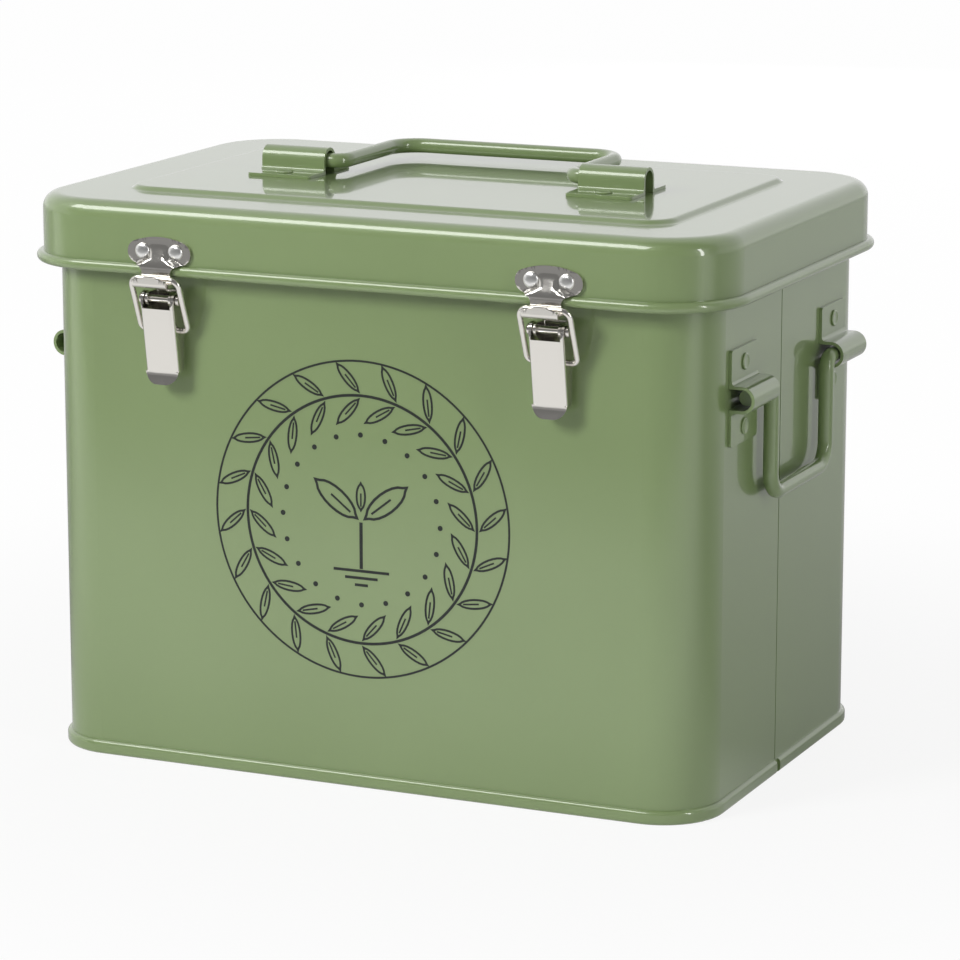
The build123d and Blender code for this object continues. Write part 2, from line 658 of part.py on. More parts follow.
with BuildPart() as lever:
    # In this plane x is "out" and y is "up" from the lever pin, both along the leaning lever
    with BuildSketch(lever_plane):
        with BuildLine():
            Polyline(
                (-lever_ear_radius, 0),
                (lever_back, link_up),
                (lever_inner_face - lever_toe_depth, lever_face_bottom),
                (lever_face_out, lever_face_bottom),
                (lever_face_out, lever_face_top),
                (lever_ear_radius, 0),
                close=True,
            )
        make_face()
        Circle(lever_ear_radius)
    extrude(amount=-lever_width)
    face_edges = lever.edges().filter_by(Axis(lever_plane.origin, lever_plane.y_dir)).group_by(Axis.Y)[0]
    fillet(face_edges, lever_bend_radius)
    # Flared tip, one sheet thick
    with BuildSketch(lever_plane):
        with BuildLine():
            flare = (lever_tip_lean, -1)
            Spline((lever_face_out, lever_tip_start), lever_tip_front, tangents=[(0, -1), flare])
            Line(lever_tip_front, lever_tip_back)
            Spline((lever_inner_face, lever_tip_start), lever_tip_back, tangents=[(0, -1), flare])
            Line((lever_inner_face, lever_tip_start), (lever_face_out, lever_tip_start))
        make_face()
    extrude(amount=-lever_width)
    # Channel: open behind and above the face
    with BuildSketch(lever_plane.offset(-lever_sheet)):
        with BuildLine():
            Polyline(
                (lever_inner_face, lever_tip_start),
                (lever_inner_face, lever_face_top - lever_sheet),
                (2 * lever_face_out, lever_face_top),
                (2 * lever_face_out, 2 * lever_ear_radius),
                (2 * lever_back, 2 * lever_ear_radius),
                (2 * lever_back, lever_face_bottom - lever_tip_lead),
                (lever_inner_face - lever_tip_root, lever_face_bottom - lever_tip_lead),
                close=True,
            )
        make_face()
    extrude(amount=-lever_inner_width, mode=Mode.SUBTRACT)
    # Rounded tip, seen square to the face
    with BuildSketch(lever_front_plane) as lever_outline:
        with Locations((0, (2 * lever_ear_radius + lever_tip_bottom) / 2)):
            Rectangle(lever_width, 2 * lever_ear_radius - lever_tip_bottom)
        fillet(lever_outline.vertices().group_by(Axis.Y)[0], lever_tip_round)
    extrude(amount=body_depth, both=True, mode=Mode.INTERSECT)
    # Pin hole and the holes that the loop's feet turn in
    with BuildSketch(lever_plane):
        Circle(lever_pin_radius + lever_pin_clearance)
        with Locations((link_out, link_up)):
            Circle(loop_wire_radius + loop_hole_clearance)
    extrude(amount=-lever_width, mode=Mode.SUBTRACT)

# ---------------------------------------------------------------- wire loop, drawn in its own leaning plane
loop_foot = lever_front_plane.from_local_coords((0, link_up, link_out))
loop_rise = Vector(0, front_y - loop_bar_out, loop_bar_up) - loop_foot
loop_normal = Vector(1, 0, 0).cross(loop_rise)
loop_plane = Plane(origin=loop_foot, x_dir=(1, 0, 0), z_dir=loop_normal)
loop_half_width = loop_width / 2 - loop_wire_radius
loop_foot_end = lever_inner_width / 2 - loop_foot_overhang

with BuildPart() as latch_loop:
    with BuildLine(loop_plane) as loop_path:
        FilletPolyline(
            (-loop_foot_end, 0),
            (-loop_half_width, 0),
            (-loop_half_width, loop_rise.length),
            (loop_half_width, loop_rise.length),
            (loop_half_width, 0),
            (loop_foot_end, 0),
            radius=[loop_foot_radius, loop_corner_radius, loop_corner_radius, loop_foot_radius],
        )
    with BuildSketch(Plane(origin=loop_path.line @ 0, z_dir=loop_path.line % 0)):
        Circle(loop_wire_radius)
    sweep(path=loop_path.line)

# ---------------------------------------------------------------- place both latches
keeper_rivet = rivet(keeper_sheet + sheet, keeper_rivet_head_radius, keeper_rivet_head_height, dome=True)
latch_base_rivet = rivet(latch_base_sheet + sheet, latch_base_rivet_head_radius, rivet_head_height)
for side, side_name in side_names.items():
    place = Location((side * latch_x, 0, 0))
    save(keeper.part.moved(place), f"latch_keeper_{side_name}")
    save(latch_base.part.moved(place), f"latch_base_{side_name}")
    save(lever_pin.part.moved(place), f"latch_pin_{side_name}")
    save(lever.part.moved(place), f"latch_lever_{side_name}")
    save(latch_loop.part.moved(place), f"latch_loop_{side_name}")
    rivet_group(
        f"keeper_rivets_{side_name}",
        keeper_rivet,
        [
            Plane(
                origin=(x, lid_front_y - keeper_sheet, keeper_rivet_up),
                z_dir=(0, -1, 0),
            )
            for x in keeper_rivet_xs
            if x * side > 0
        ],
    )
    rivet_group(
        f"latch_base_rivets_{side_name}",
        latch_base_rivet,
        [
            Plane(origin=(side * latch_x, front_y - latch_base_sheet, up), z_dir=(0, -1, 0))
            for up in latch_base_rivet_ups
        ],
    )

# ---------------------------------------------------------------- hinges
knuckle_inner_y = hinge_y - hinge_knuckle_radius
ledge_bottom = hinge_up - hinge_knuckle_radius
ledge_top = ledge_bottom + hinge_sheet

with BuildPart() as box_leaf:
    with BuildSketch(Plane.YZ.offset(-hinge_width / 2)):
        with BuildLine():
            FilletPolyline(
                (back_y, hinge_leaf_bottom),
                (back_y + hinge_sheet, hinge_leaf_bottom),
                (back_y + hinge_sheet, ledge_bottom),
                (hinge_y, ledge_bottom),
                (hinge_y, ledge_top),
                (back_y, ledge_top),
                radius=[0, 0, hinge_bend_radius, 0, 0, hinge_bend_radius + hinge_sheet],
                close=True,
            )
        make_face()
        with Locations((hinge_y, hinge_up)):
            Circle(hinge_knuckle_radius)
            Circle(hinge_pin_radius, mode=Mode.SUBTRACT)
    extrude(amount=hinge_width)
    # Room for the lid's knuckle
    with BuildSketch(Plane.YZ.offset(-hinge_lid_knuckle_width / 2 - hinge_knuckle_gap)):
        with Locations((knuckle_inner_y - hinge_knuckle_gap + hinge_knuckle_radius * 2, hinge_up)):
            Rectangle(4 * hinge_knuckle_radius, 4 * hinge_knuckle_radius)
    extrude(amount=hinge_lid_knuckle_width + 2 * hinge_knuckle_gap, mode=Mode.SUBTRACT)
    with BuildSketch(Plane.XZ):
        with Locations((0, hinge_box_rivet_up)):
            with GridLocations(hinge_rivet_spacing, 0, 2, 1):
                Circle(rivet_radius)
    extrude(amount=-body_depth, mode=Mode.SUBTRACT)

bend = hinge_bend_radius
with BuildPart() as lid_leaf:
    with BuildSketch(Plane.YZ.offset(-hinge_width / 2)):
        with BuildLine():
            FilletPolyline(
                (knuckle_inner_y, hinge_up),
                (knuckle_inner_y, hinge_up + hinge_joggle_low),
                (lid_back_y, hinge_up + hinge_joggle_high),
                (lid_back_y, hinge_lid_leaf_top),
                (lid_back_y + hinge_sheet, hinge_lid_leaf_top),
                (lid_back_y + hinge_sheet, hinge_up + hinge_joggle_high + hinge_sheet / 2),
                (knuckle_inner_y + hinge_sheet, hinge_up + hinge_joggle_low + hinge_sheet / 2),
                (knuckle_inner_y + hinge_sheet, hinge_up),
                radius=[0, bend, bend, 0, 0, bend, bend, 0],
                close=True,
            )
        make_face()
        with Locations((hinge_y, hinge_up)):
            Circle(hinge_knuckle_radius)
            Circle(hinge_pin_radius + hinge_running_clearance, mode=Mode.SUBTRACT)
    extrude(amount=hinge_width)
    # Only the middle knuckle reaches down to the pin
    with BuildSketch(Plane.XZ):
        with Locations((0, hinge_up)):
            Rectangle(2 * hinge_width, 2 * hinge_shoulder)
            Rectangle(hinge_lid_knuckle_width, 2 * hinge_shoulder, mode=Mode.SUBTRACT)
    extrude(amount=-body_depth, mode=Mode.SUBTRACT)
    with BuildSketch(Plane.XZ):
        with Locations((0, hinge_lid_rivet_up)):
            with GridLocations(hinge_rivet_spacing, 0, 2, 1):
                Circle(rivet_radius)
    extrude(amount=-body_depth, mode=Mode.SUBTRACT)

with BuildPart() as hinge_pin:
    with BuildSketch(Plane(origin=(0, hinge_y, hinge_up), x_dir=(0, 1, 0), z_dir=(1, 0, 0))):
        Circle(hinge_pin_radius)
    extrude(amount=hinge_width / 2 + hinge_pin_overhang, both=True)
    chamfer(hinge_pin.edges().filter_by(GeomType.CIRCLE), hinge_pin_chamfer)

for side, side_name in side_names.items():
    place = Location((side * hinge_x, 0, 0))
    save(box_leaf.part.moved(place), f"hinge_box_leaf_{side_name}")
    save(lid_leaf.part.moved(place), f"hinge_lid_leaf_{side_name}")
    save(hinge_pin.part.moved(place), f"hinge_pin_{side_name}")

hinge_rivet = rivet(hinge_sheet + sheet, rivet_head_radius, rivet_head_height)
for name, leaf_y, up in (
    ("hinge_rivets_box", back_y, hinge_box_rivet_up),
    ("hinge_rivets_lid", lid_back_y, hinge_lid_rivet_up),
):
    planes = [Plane(origin=(x, leaf_y + hinge_sheet, up), z_dir=(0, 1, 0)) for x in hinge_rivet_xs]
    rivet_group(name, hinge_rivet, planes)

# ---------------------------------------------------------------- centre partition, folded from one sheet
inner_half_depth = body_depth / 2 - sheet
inner_half_width = body_width / 2 - sheet

with BuildPart() as centre_partition:
    with BuildSketch(Plane.XY.offset(floor_top)):
        Rectangle(sheet, 2 * inner_half_depth)
        for end in (-1, 1):
            with Locations((partition_flange / 2 - sheet / 2, end * (inner_half_depth - sheet / 2))):
                Rectangle(partition_flange, sheet)
    extrude(amount=partition_height - floor_top)
    # Lower corners notched over the seam of the base
    with BuildSketch(Plane.XY.offset(floor_top)):
        for end in (-1, 1):
            with Locations((0, end * inner_half_depth)):
                Rectangle(2 * partition_flange, 2 * (base_ring_width + partition_notch_clearance))
    extrude(amount=base_bead_height - floor_top + partition_notch_clearance, mode=Mode.SUBTRACT)
save(centre_partition.part, "centre_partition")

# ---------------------------------------------------------------- divider cards, one group for each side
card_inner_x = partition_flange - sheet / 2 + card_clearance
card_outer_x = inner_half_width - sheet - card_clearance
card_width = card_outer_x - card_inner_x
card_middle_x = (card_outer_x + card_inner_x) / 2

for side, side_name in side_names.items():
    cards = []
    for index in range(card_count):
        card_y = (index - (card_count - 1) / 2) * card_pitch
        tab_x = (index / (card_count - 1) - 0.5) * (card_width - card_tab_width - 2 * card_corner_radius)
        with BuildPart() as card:
            with BuildSketch(Plane.XZ.offset(-card_y)) as card_face:
                with Locations((0, floor_top + card_height / 2)):
                    Rectangle(card_width, card_height)
                with Locations((tab_x, floor_top + card_height)):
                    Rectangle(card_tab_width, 2 * card_tab_height)
                fillet(card_face.vertices().group_by(Axis.Y)[-1], card_corner_radius)
            extrude(amount=card_thickness / 2, both=True)
        cards.append(card.part.moved(Location((side * card_middle_x, 0, 0))))
    save(Compound(children=cards), f"divider_cards_{side_name}")
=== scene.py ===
# %% [markdown]
# # Garden seed organizer box
# A sage green enamelled tin with a hinged lid, wire bail handles, riveted saddle clips and two
# nickel-plated toggle latches. The solid frame gives every sheet-metal piece its size and place.
# This lesson dresses it: soft edges on the thin parts, glossy enamel, plated steel, printed ink,
# cardboard and a light studio.

# %% Open the frame
import json
import math

import bmesh
import bpy
from mathutils import Matrix, Vector


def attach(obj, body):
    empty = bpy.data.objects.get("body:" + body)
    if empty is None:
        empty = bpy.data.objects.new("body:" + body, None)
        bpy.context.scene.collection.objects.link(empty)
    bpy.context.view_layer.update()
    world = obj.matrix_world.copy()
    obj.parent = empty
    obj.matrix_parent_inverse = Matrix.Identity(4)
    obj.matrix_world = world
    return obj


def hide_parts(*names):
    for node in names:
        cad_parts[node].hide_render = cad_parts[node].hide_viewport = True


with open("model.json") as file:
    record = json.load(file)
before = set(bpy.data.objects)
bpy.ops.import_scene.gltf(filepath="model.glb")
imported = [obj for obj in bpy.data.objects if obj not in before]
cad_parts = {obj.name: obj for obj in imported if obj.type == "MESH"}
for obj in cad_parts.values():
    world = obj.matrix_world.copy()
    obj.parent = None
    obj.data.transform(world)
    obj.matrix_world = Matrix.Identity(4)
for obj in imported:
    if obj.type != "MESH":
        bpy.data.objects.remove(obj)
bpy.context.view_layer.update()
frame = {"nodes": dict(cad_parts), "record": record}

MM = 0.001

# %% [markdown]
# ## Camera
# A long lens about 1.2 m away keeps the upright edges nearly parallel. The camera is placed by
# two plain angles, which are easier to judge than a target point: how far round the box it
# stands, and how steeply it looks down.

# %% Place the camera
view_round = math.radians(24.16)
view_down = math.radians(12.50)
camera_place = Vector((475.6, -1045.7, 329.3)) * MM

bpy.ops.object.camera_add(location=camera_place, rotation=(math.pi / 2 - view_down, 0, view_round))
camera = bpy.context.active_object
camera.name = "camera"
camera.data.lens = 152.3
camera.data.sensor_width = 36
camera.data.clip_start = 0.05
camera.data.clip_end = 50
bpy.context.scene.camera = camera
bpy.context.scene.view_settings.view_transform = "Standard"
print("camera is", round(camera_place.length, 3), "m from the middle of the base")

# %% [markdown]
# ## Node helpers
# One small function adds a shader node with its settings and its links. Colours are written as
# hex values, as a paint chart gives them, and are turned to linear light here.


# %% Colour and node helpers
def hex_colour(code):
    """sRGB hex to the linear values that Blender's sockets hold."""
    levels = [int(code[i : i + 2], 16) / 255 for i in (0, 2, 4)]
    linear = [v / 12.92 if v <= 0.04045 else ((v + 0.055) / 1.055) ** 2.4 for v in levels]
    return (*linear, 1.0)


def new_material(name):
    """Material with an empty node tree and its output node."""
    material = bpy.data.materials.new(name)
    material.use_nodes = True
    material.node_tree.nodes.clear()
    output = material.node_tree.nodes.new("ShaderNodeOutputMaterial")
    return material, material.node_tree, output


def add_node(tree, kind, settings=None, links=None):
    """Add a node. Settings set its properties or sockets, links feed its sockets from others.
    A socket is named, or numbered where the node has several of one name."""
    node = tree.nodes.new(kind)
    for key, value in (settings or {}).items():
        if isinstance(key, int) or key in node.inputs:
            node.inputs[key].default_value = value
        else:
            setattr(node, key, value)
    for key, source in (links or {}).items():
        tree.links.new(source, node.inputs[key])
    return node


# %% [markdown]
# ## Enamel
# The tin is steel sheet, sprayed and stoved with a gloss enamel. The eye sees three things: an
# even green under a clear gloss, a faint orange-peel ripple about 2 mm long in the reflections,
# and a very slight drift of tone over a hand's width. The ripple only bends the gloss, so it is
# a weak bump.


# %% Gloss enamel material
def make_enamel():
    material, tree, output = new_material("sage_gloss_enamel")
    place = add_node(tree, "ShaderNodeTexCoord")
    drift = add_node(
        tree,
        "ShaderNodeTexNoise",
        {"Scale": 1 / (71.4 * MM), "Detail": 2.0},
        {"Vector": place.outputs["Object"]},
    )
    tone = add_node(tree, "ShaderNodeValToRGB", links={"Fac": drift.outputs["Fac"]})
    for stop, position, code in zip(tone.color_ramp.elements, (0.3, 0.7), ("7f9362", "839766")):
        stop.position, stop.color = position, hex_colour(code)
    ripple = add_node(
        tree,
        "ShaderNodeTexNoise",
        {"Scale": 1 / (2.2 * MM), "Detail": 1.0},
        {"Vector": place.outputs["Object"]},
    )
    bump = add_node(
        tree,
        "ShaderNodeBump",
        {"Strength": 0.035, "Distance": 0.1 * MM},
        {"Height": ripple.outputs["Fac"]},
    )
    enamel = add_node(
        tree,
        "ShaderNodeBsdfPrincipled",
        {
            "Roughness": 0.3,
            "IOR": 1.5,
            "Coat Weight": 1.0,
            "Coat Roughness": 0.035,
            "Coat IOR": 1.5,
        },
        {
            "Base Color": tone.outputs["Color"],
            "Normal": bump.outputs["Normal"],
            "Coat Normal": bump.outputs["Normal"],
        },
    )
    tree.links.new(enamel.outputs["BSDF"], output.inputs["Surface"])
    return material


enamel = make_enamel()
print("enamel:", enamel.name)

# %% [markdown]
# ## Nickel plate
# The latches and hinges are pressed steel with bright nickel plate, slightly warm beside chrome.
# Barrel plating leaves fine scratches in every direction, so the roughness varies a little over
# about a millimetre and the gloss is not a perfect mirror.


# %% Nickel plate material
def make_nickel():
    material, tree, output = new_material("nickel_plate_on_steel")
    place = add_node(tree, "ShaderNodeTexCoord")
    haze = add_node(
        tree,
        "ShaderNodeTexNoise",
        {"Scale": 1 / (1.5 * MM), "Detail": 4.0},
        {"Vector": place.outputs["Object"]},
    )
    gloss = add_node(
        tree,
        "ShaderNodeMapRange",
        {"To Min": 0.09, "To Max": 0.19},
        {"Value": haze.outputs["Fac"]},
    )
    bump = add_node(
        tree,
        "ShaderNodeBump",
        {"Strength": 0.05, "Distance": 0.05 * MM},
        {"Height": haze.outputs["Fac"]},
    )
    plate = add_node(
        tree,
        "ShaderNodeBsdfPrincipled",
        {"Base Color": hex_colour("dedbd5"), "Metallic": 1.0},
        {"Roughness": gloss.outputs["Result"], "Normal": bump.outputs["Normal"]},
    )
    tree.links.new(plate.outputs["BSDF"], output.inputs["Surface"])
    return material


nickel = make_nickel()
print("nickel:", nickel.name)

# %% [markdown]
# ## Tumbled aluminium
# The latch plates are held by solid aluminium rivets. They are tumbled, not plated, so their
# domes are whiter and softer than the nickel round them. Tumbling leaves no direction, so the
# gloss only varies from grain to grain, and so small a dome needs no bump.


# %% Tumbled aluminium material
def make_aluminium():
    material, tree, output = new_material("tumbled_aluminium")
    place = add_node(tree, "ShaderNodeTexCoord")
    grain = add_node(
        tree,
        "ShaderNodeTexNoise",
        {"Scale": 1 / (0.4 * MM), "Detail": 3.0},
        {"Vector": place.outputs["Object"]},
    )
    gloss = add_node(
        tree,
        "ShaderNodeMapRange",
        {"To Min": 0.26, "To Max": 0.38},
        {"Value": grain.outputs["Fac"]},
    )
    metal = add_node(
        tree,
        "ShaderNodeBsdfPrincipled",
        {"Base Color": hex_colour("ececea"), "Metallic": 1.0},
        {"Roughness": gloss.outputs["Result"]},
    )
    tree.links.new(metal.outputs["BSDF"], output.inputs["Surface"])
    return material


aluminium = make_aluminium()
print("aluminium:", aluminium.name)

# %% [markdown]
# ## Cardboard
# The divider cards are kraft board: warm brown, dull, with short fibres lying every way. The
# fibres are too many to model. One noise of their size gives both the tone and the nap, so that
# a pale fibre is also a raised one.


# %% Kraft board material
def make_board():
    material, tree, output = new_material("kraft_board")
    place = add_node(tree, "ShaderNodeTexCoord")
    fibre = add_node(
        tree,
        "ShaderNodeTexNoise",
        {"Scale": 1 / (0.9 * MM), "Detail": 6.0},
        {"Vector": place.outputs["Object"]},
    )
    tone = add_node(tree, "ShaderNodeValToRGB", links={"Fac": fibre.outputs["Fac"]})
    for stop, position, code in zip(tone.color_ramp.elements, (0.35, 0.65), ("a98a60", "c4a67a")):
        stop.position, stop.color = position, hex_colour(code)
    bump = add_node(
        tree,
        "ShaderNodeBump",
        {"Strength": 0.2, "Distance": 0.05 * MM},
        {"Height": fibre.outputs["Fac"]},
    )
    board = add_node(
        tree,
        "ShaderNodeBsdfPrincipled",
        {"Roughness": 0.9},
        {"Base Color": tone.outputs["Color"], "Normal": bump.outputs["Normal"]},
    )
    tree.links.new(board.outputs["BSDF"], output.inputs["Surface"])
    return material


board = make_board()
print("board:", board.name)

# %% Give every frame node its finish
slot_finish = {"sage_enamel": enamel, "nickel_plate": nickel, "card": board}
slot_of = {part["node"]: part["material_slot"] for part in frame["record"]["subparts"]}
for node_name, node in frame["nodes"].items():
    node.data.materials.clear()
    node.data.materials.append(slot_finish[slot_of[node_name]])
print("finishes:", {slot: list(slot_of.values()).count(slot) for slot in slot_finish})

# %% [markdown]
# ## Printing ink
# The front of the tin carries a screen print in one dark colour. Stoving ink dries to a thin,
# slightly raised film with less gloss than the enamel under it. The marks of the printing mesh
# are drawn coarser than they are, as a drift of tone that can still be seen.


# %% Ink material
def make_ink():
    material, tree, output = new_material("black_stoving_ink")
    place = add_node(tree, "ShaderNodeTexCoord")
    mesh_marks = add_node(
        tree,
        "ShaderNodeTexNoise",
        {"Scale": 1 / (0.6 * MM), "Detail": 3.0},
        {"Vector": place.outputs["Object"]},
    )
    tone = add_node(tree, "ShaderNodeValToRGB", links={"Fac": mesh_marks.outputs["Fac"]})
    for stop, position, code in zip(tone.color_ramp.elements, (0.3, 0.7), ("1a1f1d", "242926")):
        stop.position, stop.color = position, hex_colour(code)
    ink = add_node(
        tree,
        "ShaderNodeBsdfPrincipled",
        {"Roughness": 0.45},
        {"Base Color": tone.outputs["Color"]},
    )
    tree.links.new(ink.outputs["BSDF"], output.inputs["Surface"])
    return material


ink = make_ink()
print("ink:", ink.name)

# %% [markdown]
# ## The ornament
# A plain ring of pointed leaves with a seedling in the middle, drawn in thin lines. It is drawn
# flat about the world's origin first, where a ring is easy to lay out, and is stood up against
# the tin at the end. A leaf starts as a circle, is stretched and pointed, and an inset leaves
# only its outline. One leaf is modelled, and every other leaf is a turned copy.

# %% Sizes of the ornament
ring_radius = 35.0 * MM  # middle of the stem ring
ring_line = 0.8 * MM
frame_radius = 44.6 * MM  # thin outer ring
frame_line = 0.6 * MM
ring_corners, frame_corners = 120, 140

leaf_pairs = 20
leaf_length = 9.5 * MM
leaf_width = 3.1 * MM
leaf_line = 0.6 * MM
leaf_gap = 0.15 * MM  # between a leaf's foot and the stem
outer_lean, inner_lean = math.radians(42), math.radians(138)
tip_stretch = 1.18  # draws a leaf's two ends out to points
vein_middle, vein_length = 0.47, 0.5  # shares of the leaf's length
vein_line = 0.8  # share of the leaf's line

dot_radius = 0.75 * MM
dot_ring_radius = 24.0 * MM


# %% Helpers for flat shapes
def active_mesh():
    """Mesh of the active object, opened in edit mode through bmesh."""
    return bmesh.from_edit_mesh(bpy.context.active_object.data)


def flat_circle(radius, corners, name):
    bpy.ops.object.select_all(action="DESELECT")
    bpy.ops.mesh.primitive_circle_add(
        vertices=corners, radius=radius, fill_type="NGON", location=(0, 0, 0)
    )
    piece = bpy.context.active_object
    piece.name = name
    return piece


def keep_outline(line):
    """In edit mode, with one face selected: leave only a band of this width inside its edge."""
    bpy.ops.mesh.inset(thickness=line)
    bpy.ops.mesh.delete(type="FACE")


def flat_ring(radius, line, corners, name):
    piece = flat_circle(radius + line / 2, corners, name)
    bpy.ops.object.mode_set(mode="EDIT")
    bpy.ops.mesh.select_all(action="SELECT")
    keep_outline(line)
    bpy.ops.object.mode_set(mode="OBJECT")
    return piece


def flat_leaf(length, width, line, name):
    """Pointed leaf outline from the origin up along Y, with a vein on its lower half."""
    piece = flat_circle(length / 2, 20, name)
    bpy.ops.object.mode_set(mode="EDIT")
    bpy.ops.mesh.select_all(action="SELECT")
    bpy.ops.transform.resize(value=(width / length, 1, 1))
    mesh = active_mesh()
    for v in mesh.verts:
        v.select = abs(v.co.y) > length * 0.499  # only the two end points
    mesh.select_flush_mode()
    bmesh.update_edit_mesh(piece.data)
    bpy.ops.transform.resize(value=(1, tip_stretch, 1), center_override=(0, 0, 0))
    bpy.ops.mesh.select_all(action="SELECT")
    bpy.ops.transform.translate(value=(0, length * (tip_stretch / 2), 0))
    keep_outline(line)
    vein_place = (0, length * vein_middle, 0)
    bpy.ops.mesh.primitive_plane_add(size=1, location=vein_place)
    bpy.ops.transform.resize(
        value=(line * vein_line, length * vein_length, 1), center_override=vein_place
    )
    bpy.ops.object.mode_set(mode="OBJECT")
    return piece


def turned_copies(pattern, turns):
    """Copies of a piece, each with its own mesh, moved by a matrix. The pattern itself goes."""
    copies = []
    for matrix in turns:
        copy = bpy.data.objects.new(pattern.name, pattern.data.copy())
        copy.data.transform(matrix)
        bpy.context.scene.collection.objects.link(copy)
        copies.append(copy)
    bpy.data.objects.remove(pattern)
    return copies


def join(pieces, name):
    bpy.ops.object.select_all(action="DESELECT")
    for piece in pieces:
        piece.select_set(True)
    bpy.context.view_layer.objects.active = pieces[0]
    bpy.ops.object.join()
    pieces[0].name = name
    return pieces[0]


def spun(angle, up, lean=0.0):
    """Turn about the ring's middle, after a shift up and a lean of its own."""
    turn = Matrix.Rotation(angle, 4, "Z")
    return turn @ Matrix.Translation((0, up, 0)) @ Matrix.Rotation(lean, 4, "Z")


# %% Draw the ring of leaves
step = 2 * math.pi / leaf_pairs
foot = ring_line / 2 + leaf_gap
leaf_turns = []
for index in range(leaf_pairs):
    leaf_turns.append(spun(index * step, ring_radius + foot, outer_lean))
    leaf_turns.append(spun(index * step, ring_radius - foot, inner_lean))
leaves = turned_copies(flat_leaf(leaf_length, leaf_width, leaf_line, "leaf"), leaf_turns)
dot_turns = [spun(index * step, dot_ring_radius) for index in range(leaf_pairs)]
dots = turned_copies(flat_circle(dot_radius, 16, "dot"), dot_turns)
rings = [
    flat_ring(ring_radius, ring_line, ring_corners, "stem_ring"),
    flat_ring(frame_radius, frame_line, frame_corners, "outer_ring"),
]
print("ring:", len(leaves), "leaves,", len(dots), "dots")

# %% Draw the seedling in the middle
big_leaf_length, big_leaf_width, big_leaf_line = 15 * MM, 6.4 * MM, 0.75 * MM
big_leaf_lean = math.radians(52)
big_leaf_foot = 0.6 * MM  # from the middle to either side
bud_length, bud_width, bud_line = 7.5 * MM, 3.2 * MM, 0.6 * MM
bud_foot = 2.2 * MM  # above the big leaves' feet
# Stem and three lines of soil: height of the middle, width and height, all in mm
strokes_mm = ((-7.2, 1.0, 13.2), (-14.4, 17, 0.8), (-16.4, 10, 0.8), (-18.4, 4, 0.8))

big_leaves = turned_copies(
    flat_leaf(big_leaf_length, big_leaf_width, big_leaf_line, "big_leaf"),
    [
        Matrix.Translation((side * big_leaf_foot, 0, 0))
        @ Matrix.Rotation(-side * big_leaf_lean, 4, "Z")
        for side in (-1, 1)
    ],
)
bud = turned_copies(
    flat_leaf(bud_length, bud_width, bud_line, "bud"), [Matrix.Translation((0, bud_foot, 0))]
)
strokes = []
for middle, wide, tall in strokes_mm:
    bpy.ops.object.select_all(action="DESELECT")
    bpy.ops.mesh.primitive_plane_add(size=1, location=(0, 0, 0))
    stroke = bpy.context.active_object
    size = Matrix.Diagonal((wide * MM, tall * MM, 1, 1))
    stroke.data.transform(Matrix.Translation((0, middle * MM, 0)) @ size)
    strokes.append(stroke)
print("seedling:", len(big_leaves) + len(bud), "leaves,", len(strokes), "strokes")

# %% Give the print its film and stand it against the tin
wall_y = -65.5 * MM  # front of the tube
print_middle = 76.5 * MM  # above the table
ink_proud = 0.04 * MM  # ink above the enamel
ink_sunk = 0.02 * MM  # and the same film below its surface

ornament = join(leaves + dots + rings + big_leaves + bud + strokes, "front_print")
bpy.ops.object.mode_set(mode="EDIT")
bpy.ops.mesh.select_all(action="SELECT")
bpy.ops.mesh.normals_make_consistent(inside=False)
film = (0, 0, ink_proud + ink_sunk)
bpy.ops.mesh.extrude_region_move(TRANSFORM_OT_translate={"value": film})
bpy.ops.mesh.select_all(action="SELECT")
bpy.ops.mesh.normals_make_consistent(inside=False)
bpy.ops.object.mode_set(mode="OBJECT")
ornament.rotation_euler = (math.pi / 2, 0, 0)
ornament.location = (0, wall_y + ink_sunk, print_middle)
bpy.ops.object.transform_apply(location=True, rotation=True, scale=True)
ornament.data.materials.clear()
ornament.data.materials.append(ink)
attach(ornament, "box")
print("print:", len(ornament.data.polygons), "faces")

# %% [markdown]
# ## Soft edges
# Sheet that has been cut in a press and plated or painted has no knife edge: the cut edge is
# rounded by tumbling, and the paint draws back from it. That small round is what catches a line
# of light along each clip, latch and hinge. Each solid's mesh is copied, its doubles are merged,
# flat triangles are dissolved to whole faces, and a bevel rounds the sharp edges only.

# %% Sizes of the soft edges
touch = 0.001 * MM  # points closer than this are one point
flat_angle = math.radians(0.1)  # faces that turn less than this are one face
round_segments = 3
# Width of the round by a word in the piece's name
edge_rounds = {
    "clip": 0.22 * MM,
    "keeper": 0.4 * MM,
    "latch_base": 0.2 * MM,
    "lever": 0.36 * MM,
    "leaf": 0.2 * MM,
}

# %% Sizes of the latch plate's step
latch_x = 58.5 * MM
plate_wall_y = -70.5 * MM  # front of the lid, where the plate lies
plate_sheet = 1.0 * MM
step_out = 2.15 * MM  # from the lid's wall to the tongue in front of the rim bead
step_low, step_high = 143.8 * MM, 150.6 * MM
pressed_high = 145.4 * MM  # where the solid plate starts to step out
step_ease = 0.25  # share of the slope that is curved at each end
step_half_width, step_fade = 5.9 * MM, 2.0 * MM
step_top_half_width = 1.7 * MM  # it starts narrow, between the rivets
step_wide_at, step_narrow_at = 144.4 * MM, 146.6 * MM
step_rows, step_columns = 17, 24  # of cuts across the plate


# %% Ease the latch plate's step
def clamped(share):
    return min(max(share, 0.0), 1.0)


def ramp_share(share):
    """Straight slope from 0 to 1 with a curve at each end."""
    share = clamped(share)
    if share < step_ease:
        return share**2 / (2 * step_ease * (1 - step_ease))
    if share > 1 - step_ease:
        return 1 - (1 - share) ** 2 / (2 * step_ease * (1 - step_ease))
    return (share - step_ease / 2) / (1 - step_ease)


